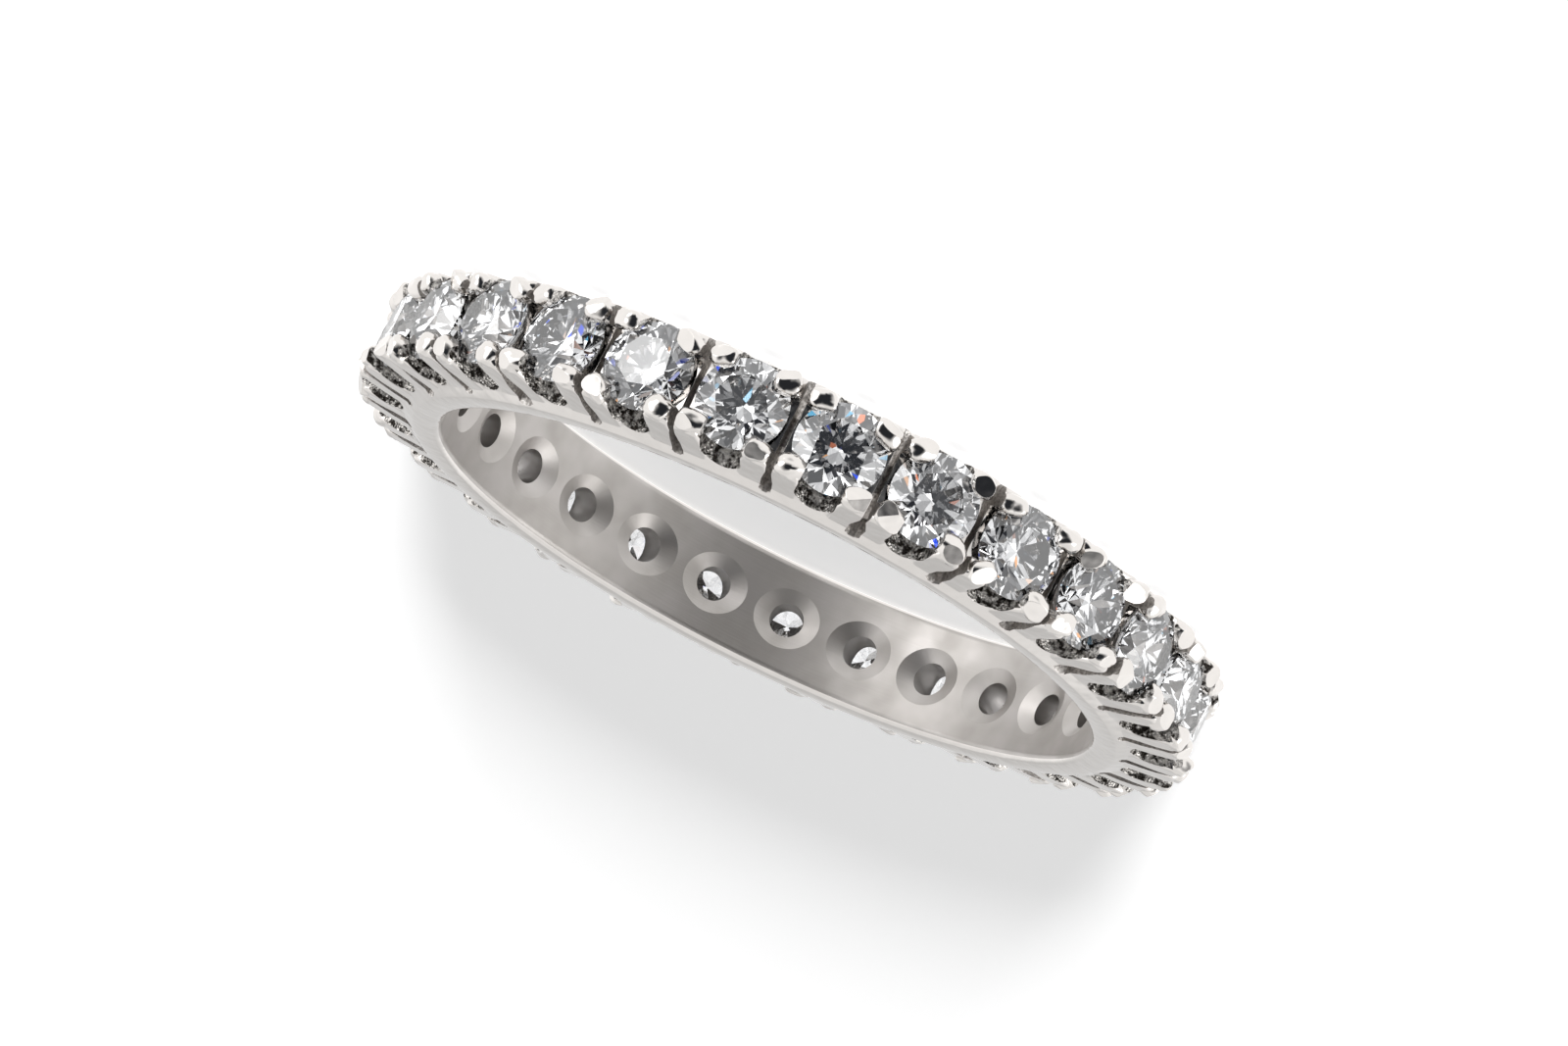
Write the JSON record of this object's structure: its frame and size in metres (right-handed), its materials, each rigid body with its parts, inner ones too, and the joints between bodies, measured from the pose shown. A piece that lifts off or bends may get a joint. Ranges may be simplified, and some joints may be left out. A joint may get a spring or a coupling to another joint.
{
  "type": "eternity ring",
  "caption": "Full eternity ring: a narrow cast band with round brilliant stones set in claws all the way round, parted by saw cuts.",
  "frame": {"origin": "centre of the finger bore, at the middle of the band's width", "axes": "+Z along the finger bore, -Y through the middle of stone_01"},
  "size_m": [0.022, 0.0218, 0.0028],
  "materials": {
    "white_metal": "polished outside, as cast in the cuts",
    "stone": "polished facets"
  },
  "bodies": {
    "root": {"band": "white_metal", "stone_01": "stone", "stone_02": "stone", "stone_03": "stone", "stone_04": "stone", "stone_05": "stone", "stone_06": "stone", "stone_07": "stone", "stone_08": "stone", "stone_09": "stone", "stone_10": "stone", "stone_11": "stone", "stone_12": "stone", "stone_13": "stone", "stone_14": "stone", "stone_15": "stone", "stone_16": "stone", "stone_17": "stone", "stone_18": "stone", "stone_19": "stone", "stone_20": "stone", "stone_21": "stone", "stone_22": "stone", "stone_23": "stone", "stone_24": "stone", "stone_25": "stone", "stone_26": "stone", "stone_27": "stone"}
  },
  "joints": []
}
